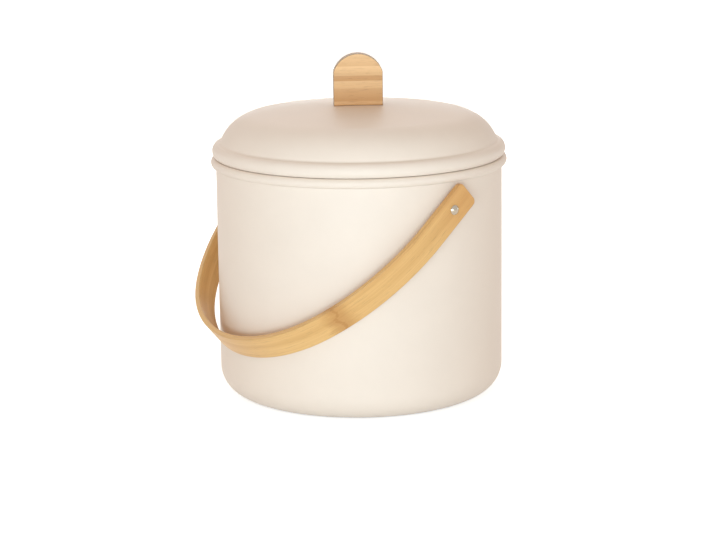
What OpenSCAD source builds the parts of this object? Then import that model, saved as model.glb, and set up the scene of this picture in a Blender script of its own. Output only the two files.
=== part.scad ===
// Compost caddy: a steel pail with a bamboo bail handle, a lift-off domed lid with a
// charcoal filter under it, and a removable inner bucket. Millimetres, +Z up. The origin
// is the centre of the base, and +X runs along the handle's pivots. At rest the handle
// leans on the -Y side of the pail.

/* [Pail] */
// Outer radius of the pail's wall
wall_r = 100; // [85:1:115]
// Thickness of the pail's sheet steel
wall_t = 0.8; // [0.5:0.1:1.5]
// Height of the rim's top above the floor
pail_h = 167.6; // [130:0.1:220]
// Outer radius of the rounded bottom edge
foot_r = 18.7; // [8:0.1:28]
// Outer radius of the rolled rim
curl_r = 3.3; // [2.2:0.1:4.2]
// How far the rim's roll is centred outside the wall
curl_shift = 0.2; // [0:0.1:1]
// Slit between the end of the roll and the wall
curl_slit = 0.4; // [0.2:0.1:0.8]
// From the inner edge of the rounded bottom to the middle of the stiffening bead
stiff_inset = 17; // [8:0.5:24]
// Width of the stiffening bead in the bottom
stiff_w = 8; // [6:0.1:12]
// Height of the stiffening bead
stiff_h = 1.2; // [0.6:0.1:2.5]

/* [Handle] */
// Depth of the pivots below the rim's top
pivot_drop = 24; // [20.5:0.1:36]
// Width of the bamboo strip
strip_w = 19.5; // [14:0.1:26]
// Thickness of the bamboo strip
strip_t = 3.6; // [2.4:0.1:5]
// Length of the strip past each pivot
strip_end = 16.5; // [9:0.1:22]
// Corner radius of the strip's ends
end_corner_r = 3.5; // [1:0.1:6]
// Straight length of each leg below its pivot
leg_straight = 22; // [8:0.1:36]
// How much smaller the crown's bend is than the handle's half width
crown_ease = 9.2; // [5:0.1:20]
// Room for a hand between the knob and the upright handle
hand_gap = 47.8; // [38:0.1:80]
// Gap between the rim's roll and the legs
rim_clear = 0.7; // [0.4:0.1:3]
// Gap between the resting handle and the wall
rest_gap = 0.3; // [0.2:0.1:1]

/* [Rivets] */
// Radius of the rivet's shank
rivet_r = 2; // [1.5:0.1:3]
// Radius of the rivet's domed head
head_r = 3.3; // [3.1:0.1:6]
// Height of the rivet's domed head
head_h = 1.7; // [1:0.1:3]
// Radius of the rivet's clenched tail
tail_r = 3.2; // [3.1:0.1:5]
// Thickness of the rivet's clenched tail
tail_h = 1.2; // [0.6:0.1:1.8]
// Radial clearance of the strip on the rivet
pivot_clear = 0.05; // [0.02:0.01:0.1]
// Gap on each face of the strip
side_gap = 0.2; // [0.1:0.05:0.3]
// Radius of the spacer between wall and strip
spacer_r = 5; // [4:0.1:8]
// Radius of the washer inside the wall
washer_r = 6; // [4:0.1:9]
// Thickness of the washer inside the wall
washer_t = 0.8; // [0.5:0.1:1.2]

/* [Lid] */
// Height of the lid's top above the rim
lid_h = 34.8; // [32:0.1:42]
// Thickness of the lid's sheet steel
lid_t = 0.8; // [0.5:0.1:1.2]
// Radius of the lid's crowned top
cap_r = 530; // [400:10:900]
// Radius of the rounded shoulder
shoulder_r = 30; // [25:0.1:33]
// How far the shoulder stays inside the pail's wall line
shoulder_inset = 1.5; // [0.5:0.1:3]
// Outer radius of the lid's rolled edge
roll_r = 5.5; // [4.5:0.1:6.5]
// How far the rolled edge stands outside the wall line
roll_over = 2.5; // [1.5:0.1:3.3]
// How far the rolled edge turns under, from level
roll_under = 51; // [40:1:60]
// Radius of the hollow between shoulder and rolled edge
neck_r = 2; // [0.8:0.1:4]
// Gap between the rolled edge and the rim
seat_gap = 0.3; // [0.2:0.05:0.5]

/* [Knob] */
// Width of the knob
knob_w = 34.2; // [26:0.1:36]
// Thickness of the knob
knob_t = 9; // [7:0.1:14]
// Height of the knob above the lid
knob_h = 36; // [26:0.1:50]
// Radius of the knob's arched top
knob_arch_r = 18; // [17.2:0.1:40]
// Turn of the knob's face about the lid
knob_turn = 57; // [0:1:180]
// Radius of the knob's screws
screw_r = 2; // [1.5:0.1:2.5]
// Length of each screw in the knob
screw_bite = 16; // [10:0.5:20]
// Distance between the two screws
screw_pitch = 18; // [14:0.1:20]
// Radius of the screw's pan head
pan_r = 4; // [3.2:0.1:5]
// Height of the screw's pan head
pan_h = 2.2; // [1.4:0.1:2.6]
// Chamfer of the screw's pan head
pan_edge = 0.6; // [0.2:0.1:0.9]
// Width of the cross in the screw's head
cross_w = 1; // [0.6:0.1:1.6]
// Depth of the cross in the screw's head
cross_h = 0.9; // [0.4:0.1:1.1]
// Room round and under each screw's head
head_room = 0.4; // [0.2:0.1:1]
// Thickness of the screw's washer
disc_t = 0.8; // [0.5:0.1:1.2]
// How far the washer stands out past the head
disc_over = 1; // [0.4:0.1:1.6]
// Radial clearance of a screw in the holes that it passes
screw_clear = 0.2; // [0.1:0.05:0.4]
// Radial clearance of a screw in the knob
bite_clear = 0.05; // [0.02:0.01:0.1]

/* [Plug ring and seal] */
// Radial gap between the plug ring and the pail's inside
plug_gap = 1.6; // [1.2:0.1:2.4]
// Thickness of the plug ring
plug_t = 1.6; // [1.2:0.1:2]
// How far the plug ring reaches below the rim's top
plug_drop = 9.2; // [8:0.1:14]
// Thickness of the plug ring's flange
flange_t = 1.6; // [1:0.1:2.2]
// Gap between the flange and the rim
flange_gap = 0.4; // [0.3:0.1:0.6]
// Gap between the flange's edge and the lid's rolled edge
flange_fit = 0.1; // [0.05:0.05:0.3]
// Gap between the plug ring's top and the lid's neck
plug_fit = 0.6; // [0.4:0.1:1]
// Height of the seal ring
seal_h = 5; // [3:0.1:6]
// Depth of the seal's groove in the plug ring
seal_seat = 0.4; // [0.2:0.1:0.6]
// Gap between the seal's fins and the wall
seal_gap = 0.3; // [0.2:0.05:0.5]
// Thickness of each seal fin
fin_t = 1; // [0.6:0.1:1.2]
// From the plug ring's lower edge to the seal
seal_lift = 2; // [1:0.1:3]

/* [Filter] */
// Outer radius of the filter holder
dish_r = 57; // [50:0.5:64]
// Wall thickness of the filter holder
dish_t = 2; // [1.4:0.1:3]
// Radius of the holder's boss under the lid
boss_r = 17; // [15.5:0.1:24]
// Gap between the holder's plate and the lid
dish_gap = 1; // [0.5:0.1:2]
// Thickness of the charcoal filter
filter_t = 9; // [5:0.1:12]
// Radial gap round the charcoal filter
filter_gap = 0.5; // [0.3:0.1:1.5]
// Gap above the charcoal filter and below the holder's wall
filter_room = 0.3; // [0.2:0.05:0.6]
// Thickness of the cover's plate
cover_t = 1.8; // [1.2:0.1:2.6]
// Thickness of the cover's skirt
skirt_t = 1.6; // [1.2:0.1:2.4]
// Height of the cover's skirt
skirt_h = 8.4; // [7.5:0.1:10]
// Running gap between cover and holder
cover_gap = 0.3; // [0.2:0.05:0.5]
// Turn that unlocks the cover
unlock_turn = 20; // [12:1:30]
// Number of bayonet lugs
lug_count = 3; // [2:1:4]
// Width of a lug, as an angle
lug_angle = 8; // [5:1:12]
// Height of a lug
lug_h = 2; // [1.2:0.1:2.4]
// Height of the lugs above the cover's plate
lug_rise = 2.6; // [2.2:0.1:3.2]
// How far a lug stays inside the skirt's outer face
lug_inset = 0.4; // [0.1:0.1:0.8]
// Play at each end of a lug in its slot, as an angle
slot_play = 0.6; // [0.3:0.1:1.2]
// Radius of the cover's air holes
vent_r = 3; // [1.6:0.1:3.4]
// Number of rings of air holes
vent_rings = 3; // [2:1:3]
// Distance from one ring of air holes to the next
vent_step = 14; // [11:0.1:15]
// Length of the cover's finger rib
rib_l = 36; // [24:0.5:60]
// Thickness of the cover's finger rib
rib_t = 3; // [2:0.1:4]
// Height of the cover's finger rib
rib_h = 6.5; // [4:0.1:7]

/* [Inner bucket] */
// Wall thickness of the inner bucket
liner_t = 1.6; // [1.2:0.1:2.2]
// Thickness of the inner bucket's floor
liner_floor_t = 2; // [1.4:0.1:3]
// Gap between the bucket's wall and the pail's inside, at the top
liner_gap = 4.2; // [4:0.1:6]
// Draft of the bucket's wall
liner_draft = 1.5; // [0.5:0.1:3]
// How much larger the bucket's bottom edge is than the pail's
liner_corner_extra = 1.3; // [0.5:0.1:6]
// Gap under the bucket
liner_seat_gap = 0.3; // [0.2:0.05:0.5]
// Gap between the bucket's lip and the pail's inside
lip_gap = 1; // [0.8:0.1:1.2]
// Gap between the bucket's lip and the plug ring
lip_drop = 1.4; // [1:0.1:3]
// Thickness of the lip
lip_t = 1.6; // [1.2:0.1:2.2]
// Depth of the lip's turned-down edge
lip_h = 6; // [4:0.1:6.4]
// Width of a finger grip
grip_w = 52; // [44:0.5:70]
// Gap between a finger grip and the lid's inside
grip_clear = 4; // [3:0.1:5]
// Corner radius of a finger grip
grip_corner_r = 7; // [4:0.1:7.2]
// Width of the finger hole
finger_w = 34; // [26:0.5:38]
// Height of the finger hole
finger_h = 11; // [9:0.1:12]

/* [Hidden] */
$fn = 96;
// Sides of the large circles that others are cut by
fine = 360;
// Length of a cut that has no end
far = 400;
// How far a cut runs past the face that it starts from
over = 1;

// Pail and handle
wall_in_r = wall_r - wall_t;
curl_c_r = wall_r + curl_shift;
curl_z = pail_h - curl_r;
rim_out_r = curl_c_r + curl_r;
stiff_r = wall_r - foot_r - stiff_inset;
floor_top_z = wall_t + stiff_h;
pivot_z = pail_h - pivot_drop;
leg_x = rim_out_r + rim_clear;
reach = pivot_drop + lid_h + knob_h + hand_gap;
crown_r = leg_x - crown_ease;
crown_y = crown_r - reach;
side_drop = -crown_y - leg_straight;
side_r = (pow(leg_x, 2) + pow(side_drop, 2) - pow(crown_r, 2)) / (2 * crown_ease);
side_turn = atan2(side_drop, side_r - leg_x);
lean_hyp = norm([reach, strip_w / 2]);
lean = atan2(strip_w / 2, reach) + asin((wall_r + rest_gap) / lean_hyp);
bore_r = rivet_r + pivot_clear;
head_x = leg_x + strip_t + side_gap;
spacer_x = leg_x - side_gap;
tail_x = wall_in_r - washer_t;

// Lid
apex_z = pail_h + lid_h;
cap_z = apex_z - cap_r;
shoulder_c_r = wall_r - shoulder_inset - shoulder_r;
cap_tilt = asin(shoulder_c_r / (cap_r - shoulder_r));
shoulder_z = cap_z + (cap_r - shoulder_r) * cos(cap_tilt);
roll_in_r = roll_r - lid_t;
roll_c_r = wall_r + roll_over - roll_r;
roll_z = pail_h + seat_gap + roll_r * sin(roll_under);
neck_c = meet([shoulder_c_r, shoulder_z], shoulder_r + neck_r, [roll_c_r, roll_z], roll_r + neck_r);
lap = meet([shoulder_c_r, shoulder_z], shoulder_r - lid_t, [roll_c_r, roll_z], roll_in_r);
roll_back = atan2(lap[1] - roll_z, lap[0] - roll_c_r);

// Plug ring and seal
plug_out_r = wall_in_r - plug_gap;
plug_in_r = plug_out_r - plug_t;
plug_low_z = pail_h - plug_drop;
plug_top_z = lap[1] - plug_fit;
flange_z = pail_h + flange_gap;
flange_out_r = roll_c_r + roll_in_r * cos(roll_under) - flange_fit;
seal_z = plug_low_z + seal_lift;
seal_in_r = plug_out_r - seal_seat;
seal_out_r = wall_in_r - seal_gap;
seal_web_r = (seal_in_r + seal_out_r) / 2;

// Filter
dish_in_r = dish_r - dish_t;
dish_top_z = cap_z + sqrt(pow(cap_r - lid_t, 2) - pow(dish_r, 2)) - dish_gap;
dish_z = dish_top_z - dish_t;
filter_z = dish_z - filter_room - filter_t;
dish_low_z = filter_z + filter_room;
cover_z = filter_z - cover_t;
skirt_in_r = dish_r + cover_gap;
skirt_out_r = skirt_in_r + skirt_t;
lug_z = cover_z + cover_t + lug_rise;
lug_out_r = skirt_out_r - lug_inset;
slot_h = lug_h + 2 * cover_gap;
disc_r = pan_r + disc_over;
pan_z = dish_z + head_room;
disc_z = pan_z + pan_h;
pocket_z = disc_z + disc_t;
pocket_r = disc_r + head_room;

// Inner bucket
liner_z = floor_top_z + liner_seat_gap;
liner_top_z = plug_low_z - lip_drop;
liner_top_r = wall_in_r - liner_gap;
liner_c = foot_r + liner_corner_extra;
lip_r = wall_in_r - lip_gap;
grip_top_z = shoulder_z - grip_clear
    + sqrt(pow(shoulder_r - lid_t, 2) - pow(liner_top_r - shoulder_c_r, 2));
grip_h = grip_top_z - liner_top_z;

// Finishes
cream = [0.95, 0.91, 0.85];
bamboo = [0.82, 0.64, 0.42];
steel = [0.75, 0.76, 0.78];
plastic = [0.86, 0.86, 0.83];
grey_plastic = [0.52, 0.54, 0.53];
silicone = [0.72, 0.73, 0.7];
charcoal = [0.14, 0.14, 0.15];

// The upper one of the two points where a circle meets another that stands to its right
function meet(p, rp, q, rq) =
    let (
        d = norm(q - p),
        u = (q - p) / d,
        a = (rp * rp - rq * rq + d * d) / (2 * d),
        h = sqrt(rp * rp - a * a)
    )
    p + a * u + h * [-u[1], u[0]];

// Points on an arc, from its first step on
function arc(c, r, from, to, steps, first = 0) =
    [for (i = [first:steps]) let (a = from + (to - from) * i / steps) c + r * [cos(a), sin(a)]];

// Half of the handle's line, offset outwards, from the end of a leg to the crown
function half_line(out) = concat(
    [[leg_x + out, strip_end]],
    arc([leg_x - side_r, -leg_straight], side_r + out, 0, -side_turn, 14),
    arc([0, crown_y], crown_r + out, -side_turn, -90, 18, 1)
);

function reversed(list) = [for (i = [len(list) - 1:-1:0]) list[i]];

// The handle's line from one end to the other, through the crown once
function whole_line(out) =
    let (half = half_line(out))
    concat(half, [for (i = [len(half) - 2:-1:0]) [-half[i][0], half[i][1]]]);

// Places its children on the right-hand pivot's line, or mirrored on the left
module on_pivot(side) {
    mirror([side < 0 ? 1 : 0, 0, 0]) translate([0, 0, pivot_z]) rotate([0, 90, 0]) children();
}

// Places its children on one of the two screw lines
module on_screw(side) {
    rotate([0, 0, knob_turn]) translate([side * screw_pitch / 2, 0, 0]) children();
}

module wedge_2d(from, to, r) {
    polygon(concat([[0, 0]], arc([0, 0], r, from, to, 8)));
}

// A tall block with a rounded lower edge, as half of a section
module foot_block(r, top, corner) {
    translate([0, corner]) square([r, top - corner]);
    square([r - corner, corner]);
    translate([r - corner, corner]) circle(corner);
}

module stiff_bead_2d(width, height) {
    translate([stiff_r, 0])
        polygon([[-width / 2, 0], [width / 2, 0], [width / 2 - height, height], [height - width / 2, height]]);
}

module pail_wall_2d() {
    difference() {
        union() {
            difference() {
                foot_block(wall_r, pail_h - wall_t, foot_r);
                translate([0, wall_t]) foot_block(wall_in_r, pail_h, foot_r - wall_t);
            }
            stiff_bead_2d(stiff_w + 2 * wall_t, floor_top_z);
        }
        stiff_bead_2d(stiff_w, stiff_h);
    }
}

module rim_roll_2d() {
    difference() {
        translate([curl_c_r, curl_z]) circle(curl_r);
        translate([curl_c_r, curl_z]) circle(curl_r - wall_t);
        square([wall_in_r, 2 * pail_h]);
        square([wall_r + curl_slit, curl_z]);
    }
}

module pail_shell() {
    color(cream) difference() {
        rotate_extrude() {
            pail_wall_2d();
            rim_roll_2d();
        }
        for (side = [1, -1])
            on_pivot(side) translate([0, 0, tail_x]) cylinder(r = bore_r, h = wall_r + over - tail_x);
    }
}

module rivet(side) {
    dome_r = (head_r * head_r + head_h * head_h) / (2 * head_h);
    color(steel) on_pivot(side) {
        translate([0, 0, tail_x - tail_h / 2]) cylinder(r = rivet_r, h = head_x + head_h / 2 - tail_x + tail_h / 2);
        intersection() {
            translate([0, 0, head_x]) cylinder(r = head_r, h = head_h);
            translate([0, 0, head_x + head_h - dome_r]) sphere(dome_r);
        }
        translate([0, 0, tail_x - tail_h]) cylinder(r1 = tail_r - tail_h / 2, r2 = tail_r, h = tail_h);
    }
}

module spacer(side) {
    color(plastic) difference() {
        on_pivot(side) translate([0, 0, wall_r - over]) cylinder(r = spacer_r, h = spacer_x - wall_r + over);
        on_pivot(side) cylinder(r = bore_r, h = far);
        cylinder(r = wall_r, h = pail_h, $fn = fine);
    }
}

module rivet_washer(side) {
    color(steel) intersection() {
        difference() {
            on_pivot(side) translate([0, 0, tail_x]) cylinder(r = washer_r, h = washer_t);
            on_pivot(side) cylinder(r = bore_r, h = far);
        }
        cylinder(r = wall_in_r, h = pail_h, $fn = fine);
    }
}

// Cuts the two corners off one end of the strip, round
module strip_end_cut() {
    for (edge = [1, -1])
        translate([0, strip_end - end_corner_r, edge * (strip_w / 2 - end_corner_r)])
            rotate([0, 90, 0]) difference() {
                translate([edge > 0 ? -2 * end_corner_r : 0, 0, 0]) cube([2 * end_corner_r, 2 * end_corner_r, far]);
                cylinder(r = end_corner_r, h = far);
            }
}

module handle_strip() {
    color(bamboo) translate([0, 0, pivot_z]) rotate([90 - lean, 0, 0]) difference() {
        translate([0, 0, -strip_w / 2])
            linear_extrude(strip_w) polygon(concat(whole_line(strip_t), reversed(whole_line(0))));
        rotate([0, 90, 0]) translate([0, 0, -far / 2]) cylinder(r = bore_r, h = far);
        strip_end_cut();
        mirror([1, 0, 0]) strip_end_cut();
    }
}

// The lid's outer form inset by a distance, as half of a section
module dome_2d(inset) {
    intersection() {
        translate([0, cap_z]) circle(cap_r - inset, $fn = fine);
        translate([0, shoulder_z]) square([(cap_r - inset) * sin(cap_tilt), far]);
    }
    translate([shoulder_c_r, shoulder_z]) circle(shoulder_r - inset);
}

// The ball that the lid's crowned top is a part of, laid with its poles level
module crown_ball(inset) {
    translate([0, 0, cap_z]) rotate([90, 0, 0]) sphere(cap_r - inset, $fn = fine);
}

module lid_section() {
    intersection() {
        difference() {
            dome_2d(0);
            dome_2d(lid_t);
        }
        translate([0, lap[1]]) square([far, far]);
    }
    translate([roll_c_r, roll_z]) intersection() {
        difference() {
            circle(roll_r);
            circle(roll_in_r);
        }
        wedge_2d(-roll_under, roll_back, 3 * roll_r);
    }
    difference() {
        polygon([[shoulder_c_r, shoulder_z], [roll_c_r, roll_z], neck_c]);
        translate(neck_c) circle(neck_r);
        translate([shoulder_c_r, shoulder_z]) circle(shoulder_r - lid_t / 2);
        translate([roll_c_r, roll_z]) circle(roll_r - lid_t / 2);
    }
}

module lid_shell() {
    color(cream) difference() {
        rotate_extrude($fn = 180) lid_section();
        for (side = [1, -1]) on_screw(side) cylinder(r = screw_r + screw_clear, h = far);
    }
}

module knob_outline() {
    intersection() {
        translate([-knob_w / 2, -over]) square([knob_w, knob_h + 2 * over]);
        union() {
            translate([-far / 2, -2 * over]) square([far, knob_h + 2 * over - knob_arch_r]);
            translate([0, knob_h - knob_arch_r]) circle(knob_arch_r);
        }
    }
}

module knob() {
    color(bamboo) difference() {
        rotate([0, 0, knob_turn]) translate([0, knob_t / 2, apex_z])
            rotate([90, 0, 0]) linear_extrude(knob_t) knob_outline();
        crown_ball(0);
        for (side = [1, -1])
            on_screw(side) translate([0, 0, apex_z - over])
                cylinder(r = screw_r + bite_clear, h = screw_bite + 2 * over);
    }
}

module knob_screw(side) {
    color(steel) on_screw(side) {
        translate([0, 0, disc_z - pan_h / 2]) cylinder(r = screw_r, h = apex_z + screw_bite - disc_z + pan_h / 2);
        translate([0, 0, pan_z]) difference() {
            union() {
                cylinder(r1 = pan_r - pan_edge, r2 = pan_r, h = pan_edge);
                translate([0, 0, pan_edge]) cylinder(r = pan_r, h = pan_h - pan_edge);
            }
            for (turn = [45, 135])
                rotate([0, 0, turn]) translate([-pan_r / 2, -cross_w / 2, -over]) cube([pan_r, cross_w, cross_h + over]);
        }
    }
}

module screw_washer(side) {
    color(steel) on_screw(side) translate([0, 0, disc_z]) difference() {
        cylinder(r = disc_r, h = disc_t);
        translate([0, 0, -over]) cylinder(r = screw_r + screw_clear, h = disc_t + 2 * over);
    }
}

module lid_collar() {
    color(plastic) rotate_extrude() difference() {
        union() {
            translate([plug_in_r, plug_low_z]) square([plug_t, plug_top_z - plug_low_z]);
            translate([plug_in_r, flange_z]) square([flange_out_r - plug_in_r, flange_t]);
        }
        translate([seal_in_r, seal_z]) square([plug_t, seal_h]);
    }
}

module seal_ring() {
    color(silicone) rotate_extrude() {
        translate([seal_in_r, seal_z]) square([seal_web_r - seal_in_r, seal_h]);
        for (low = [seal_z, seal_z + seal_h - fin_t])
            translate([seal_in_r, low]) square([seal_out_r - seal_in_r, fin_t]);
    }
}

module bayonet_lugs() {
    for (i = [0:lug_count - 1])
        rotate([0, 0, 360 / lug_count * i - lug_angle / 2])
            rotate_extrude(angle = lug_angle)
                translate([dish_r - dish_t / 2, lug_z]) square([lug_out_r - dish_r + dish_t / 2, lug_h]);
}

module filter_holder() {
    color(grey_plastic) difference() {
        union() {
            translate([0, 0, dish_z]) cylinder(r = dish_r, h = dish_t);
            intersection() {
                translate([0, 0, dish_z]) cylinder(r = boss_r, h = apex_z - dish_z);
                crown_ball(lid_t);
            }
            difference() {
                translate([0, 0, dish_low_z]) cylinder(r = dish_r, h = dish_z - dish_low_z + dish_t);
                translate([0, 0, dish_low_z - over]) cylinder(r = dish_in_r, h = dish_z - dish_low_z + over);
            }
            bayonet_lugs();
        }
        for (side = [1, -1]) {
            on_screw(side) cylinder(r = screw_r + screw_clear, h = far);
            on_screw(side) translate([0, 0, dish_z - over]) cylinder(r = pocket_r, h = pocket_z - dish_z + over);
        }
    }
}

module charcoal_filter() {
    color(charcoal) translate([0, 0, filter_z]) cylinder(r = dish_in_r - filter_gap, h = filter_t);
}

// The bayonet's slots: level ones that the lugs lock in, each with a way out at its end
module bayonet_slots() {
    for (i = [0:lug_count - 1]) rotate([0, 0, 360 / lug_count * i]) {
        rotate([0, 0, -lug_angle / 2 - slot_play - unlock_turn])
            rotate_extrude(angle = unlock_turn + lug_angle + 2 * slot_play)
                translate([skirt_in_r - over, lug_z - cover_gap]) square([skirt_t + 2 * over, slot_h]);
        rotate([0, 0, -lug_angle / 2 - slot_play - unlock_turn])
            rotate_extrude(angle = lug_angle + 2 * slot_play)
                translate([skirt_in_r - over, lug_z - cover_gap]) square([skirt_t + 2 * over, skirt_h]);
    }
}

module vents() {
    for (ring = [1:vent_rings], i = [0:6 * ring - 1])
        rotate([0, 0, 60 / ring * (i + 0.5)])
            translate([vent_step * ring, 0, cover_z - over]) cylinder(r = vent_r, h = cover_t + 2 * over);
}

module filter_cover() {
    color(grey_plastic) {
        difference() {
            translate([0, 0, cover_z]) cylinder(r = skirt_out_r, h = skirt_h);
            translate([0, 0, filter_z]) cylinder(r = skirt_in_r, h = skirt_h);
            bayonet_slots();
            vents();
        }
        translate([-rib_l / 2, -rib_t / 2, cover_z - rib_h]) cube([rib_l, rib_t, rib_h + cover_t / 2]);
    }
}

// The bucket's outer line inset by a distance, from the axis up to the lip
function liner_line(inset, low) =
    let (
        corner = liner_c - inset,
        z = low + corner,
        x = liner_top_r - inset - (liner_top_z - z) * tan(liner_draft) - corner / cos(liner_draft)
    )
    concat([[0, low]], arc([x, z], corner, -90, -liner_draft, 16), [[liner_top_r - inset, liner_top_z]]);

module liner_bucket() {
    color(plastic) rotate_extrude() {
        polygon(concat(liner_line(0, liner_z), reversed(liner_line(liner_t, liner_z + liner_floor_t))));
        translate([liner_top_r - liner_t / 2, liner_top_z - lip_t])
            square([lip_r - liner_top_r + liner_t / 2, lip_t]);
        translate([lip_r - lip_t, liner_top_z - lip_h]) square([lip_t, lip_h]);
    }
}

// A finger grip's face, with its hole
module grip_outline() {
    difference() {
        union() {
            translate([-grip_w / 2, 0]) square([grip_w, grip_h - grip_corner_r]);
            translate([grip_corner_r - grip_w / 2, 0]) square([grip_w - 2 * grip_corner_r, grip_h]);
            for (side = [1, -1])
                translate([side * (grip_w / 2 - grip_corner_r), grip_h - grip_corner_r]) circle(grip_corner_r);
        }
        translate([finger_h / 2 - finger_w / 2, (grip_h - finger_h) / 2]) square([finger_w - finger_h, finger_h]);
        for (side = [1, -1]) translate([side * (finger_w - finger_h) / 2, grip_h / 2]) circle(finger_h / 2);
    }
}

module liner_grip(side) {
    color(plastic) intersection() {
        translate([0, 0, liner_top_z]) difference() {
            cylinder(r = liner_top_r, h = grip_h, $fn = fine);
            translate([0, 0, -over]) cylinder(r = liner_top_r - liner_t, h = grip_h + 2 * over, $fn = fine);
        }
        mirror([0, side > 0 ? 1 : 0, 0]) translate([0, 0, liner_top_z])
            rotate([90, 0, 0]) linear_extrude(wall_r) grip_outline();
    }
}

pail_shell();
rivet(1);  // rivet_right
rivet(-1);  // rivet_left
spacer(1);  // spacer_right
spacer(-1);  // spacer_left
rivet_washer(1);  // rivet_washer_right
rivet_washer(-1);  // rivet_washer_left
handle_strip();
lid_shell();
knob();
knob_screw(1);  // knob_screw_a
knob_screw(-1);  // knob_screw_b
screw_washer(1);  // screw_washer_a
screw_washer(-1);  // screw_washer_b
lid_collar();
seal_ring();
filter_holder();
charcoal_filter();
filter_cover();
liner_bucket();
liner_grip(-1);  // liner_grip_front
liner_grip(1);  // liner_grip_back
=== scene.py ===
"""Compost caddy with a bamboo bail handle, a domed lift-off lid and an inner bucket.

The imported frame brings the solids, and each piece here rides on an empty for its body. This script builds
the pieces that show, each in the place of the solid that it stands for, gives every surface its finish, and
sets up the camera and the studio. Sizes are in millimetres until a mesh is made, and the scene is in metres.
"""

from __future__ import annotations

import logging
import math
from dataclasses import dataclass, field, replace
from enum import Enum
from typing import Callable, Iterable

import bmesh
import bpy
from bmesh.types import BMEdge, BMesh, BMVert
from bpy.types import Material, Node, NodeSocket, NodeTree, Object
from mathutils import Matrix, Vector

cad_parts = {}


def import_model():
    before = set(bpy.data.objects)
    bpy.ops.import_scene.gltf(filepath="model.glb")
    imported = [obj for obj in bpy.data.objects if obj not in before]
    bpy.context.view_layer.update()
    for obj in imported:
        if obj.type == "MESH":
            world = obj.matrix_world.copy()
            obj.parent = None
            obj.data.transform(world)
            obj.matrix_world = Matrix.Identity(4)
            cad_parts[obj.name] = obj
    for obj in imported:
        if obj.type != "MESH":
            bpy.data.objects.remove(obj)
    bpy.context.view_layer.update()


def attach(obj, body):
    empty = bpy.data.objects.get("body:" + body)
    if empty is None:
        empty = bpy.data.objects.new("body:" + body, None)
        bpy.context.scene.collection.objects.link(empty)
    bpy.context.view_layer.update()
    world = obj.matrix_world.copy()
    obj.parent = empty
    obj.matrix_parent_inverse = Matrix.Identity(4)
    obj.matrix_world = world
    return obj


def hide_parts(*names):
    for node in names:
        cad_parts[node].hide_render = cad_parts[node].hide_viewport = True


LOG = logging.getLogger("caddy")

Point = tuple[float, float]
Span = tuple[float, float]
Triple = tuple[float, float, float]
Colour = Triple
Inputs = dict[object, object]
Sockets = bpy.types.bpy_prop_collection

MM = 0.001
NEAR = 1e-3
SMOOTH_ANGLE = 32.0
SPIN_STEPS = 240
BORE_STEPS = 40

# The sizes that more than one piece keeps to.
WALL_R = 100.0
PAIL_H = 167.6
PIVOT_Z = 143.6
BORE_R = 2.05
STRIP_W = 19.5
KNOB_H = 36.0
KNOB_TURN = 57.0

WHITE = (1.0, 1.0, 1.0)


class Slot(Enum):
    """The record's material slots."""

    CREAM_PAINT = "cream_paint"
    BAMBOO_STRIP = "bamboo_strip"
    BAMBOO_BLOCK = "bamboo_block"
    RIVET_STEEL = "rivet_steel"
    ZINC_STEEL = "zinc_steel"
    CREAM_PLASTIC = "cream_plastic"
    RING_PLASTIC = "ring_plastic"
    SEAL_SILICONE = "seal_silicone"
    FILTER_PLASTIC = "filter_plastic"
    CHARCOAL_FELT = "charcoal_felt"
    BUCKET_PLASTIC = "bucket_plastic"


class Body(Enum):
    """The bodies that the pieces ride on."""

    CADDY = "caddy"
    HANDLE = "handle"
    LINER = "liner"
    LID = "lid"
    COVER = "filter_cover"


# ---------------------------------------------------------------------------------------------------
# Shader sheets and node groups


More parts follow.
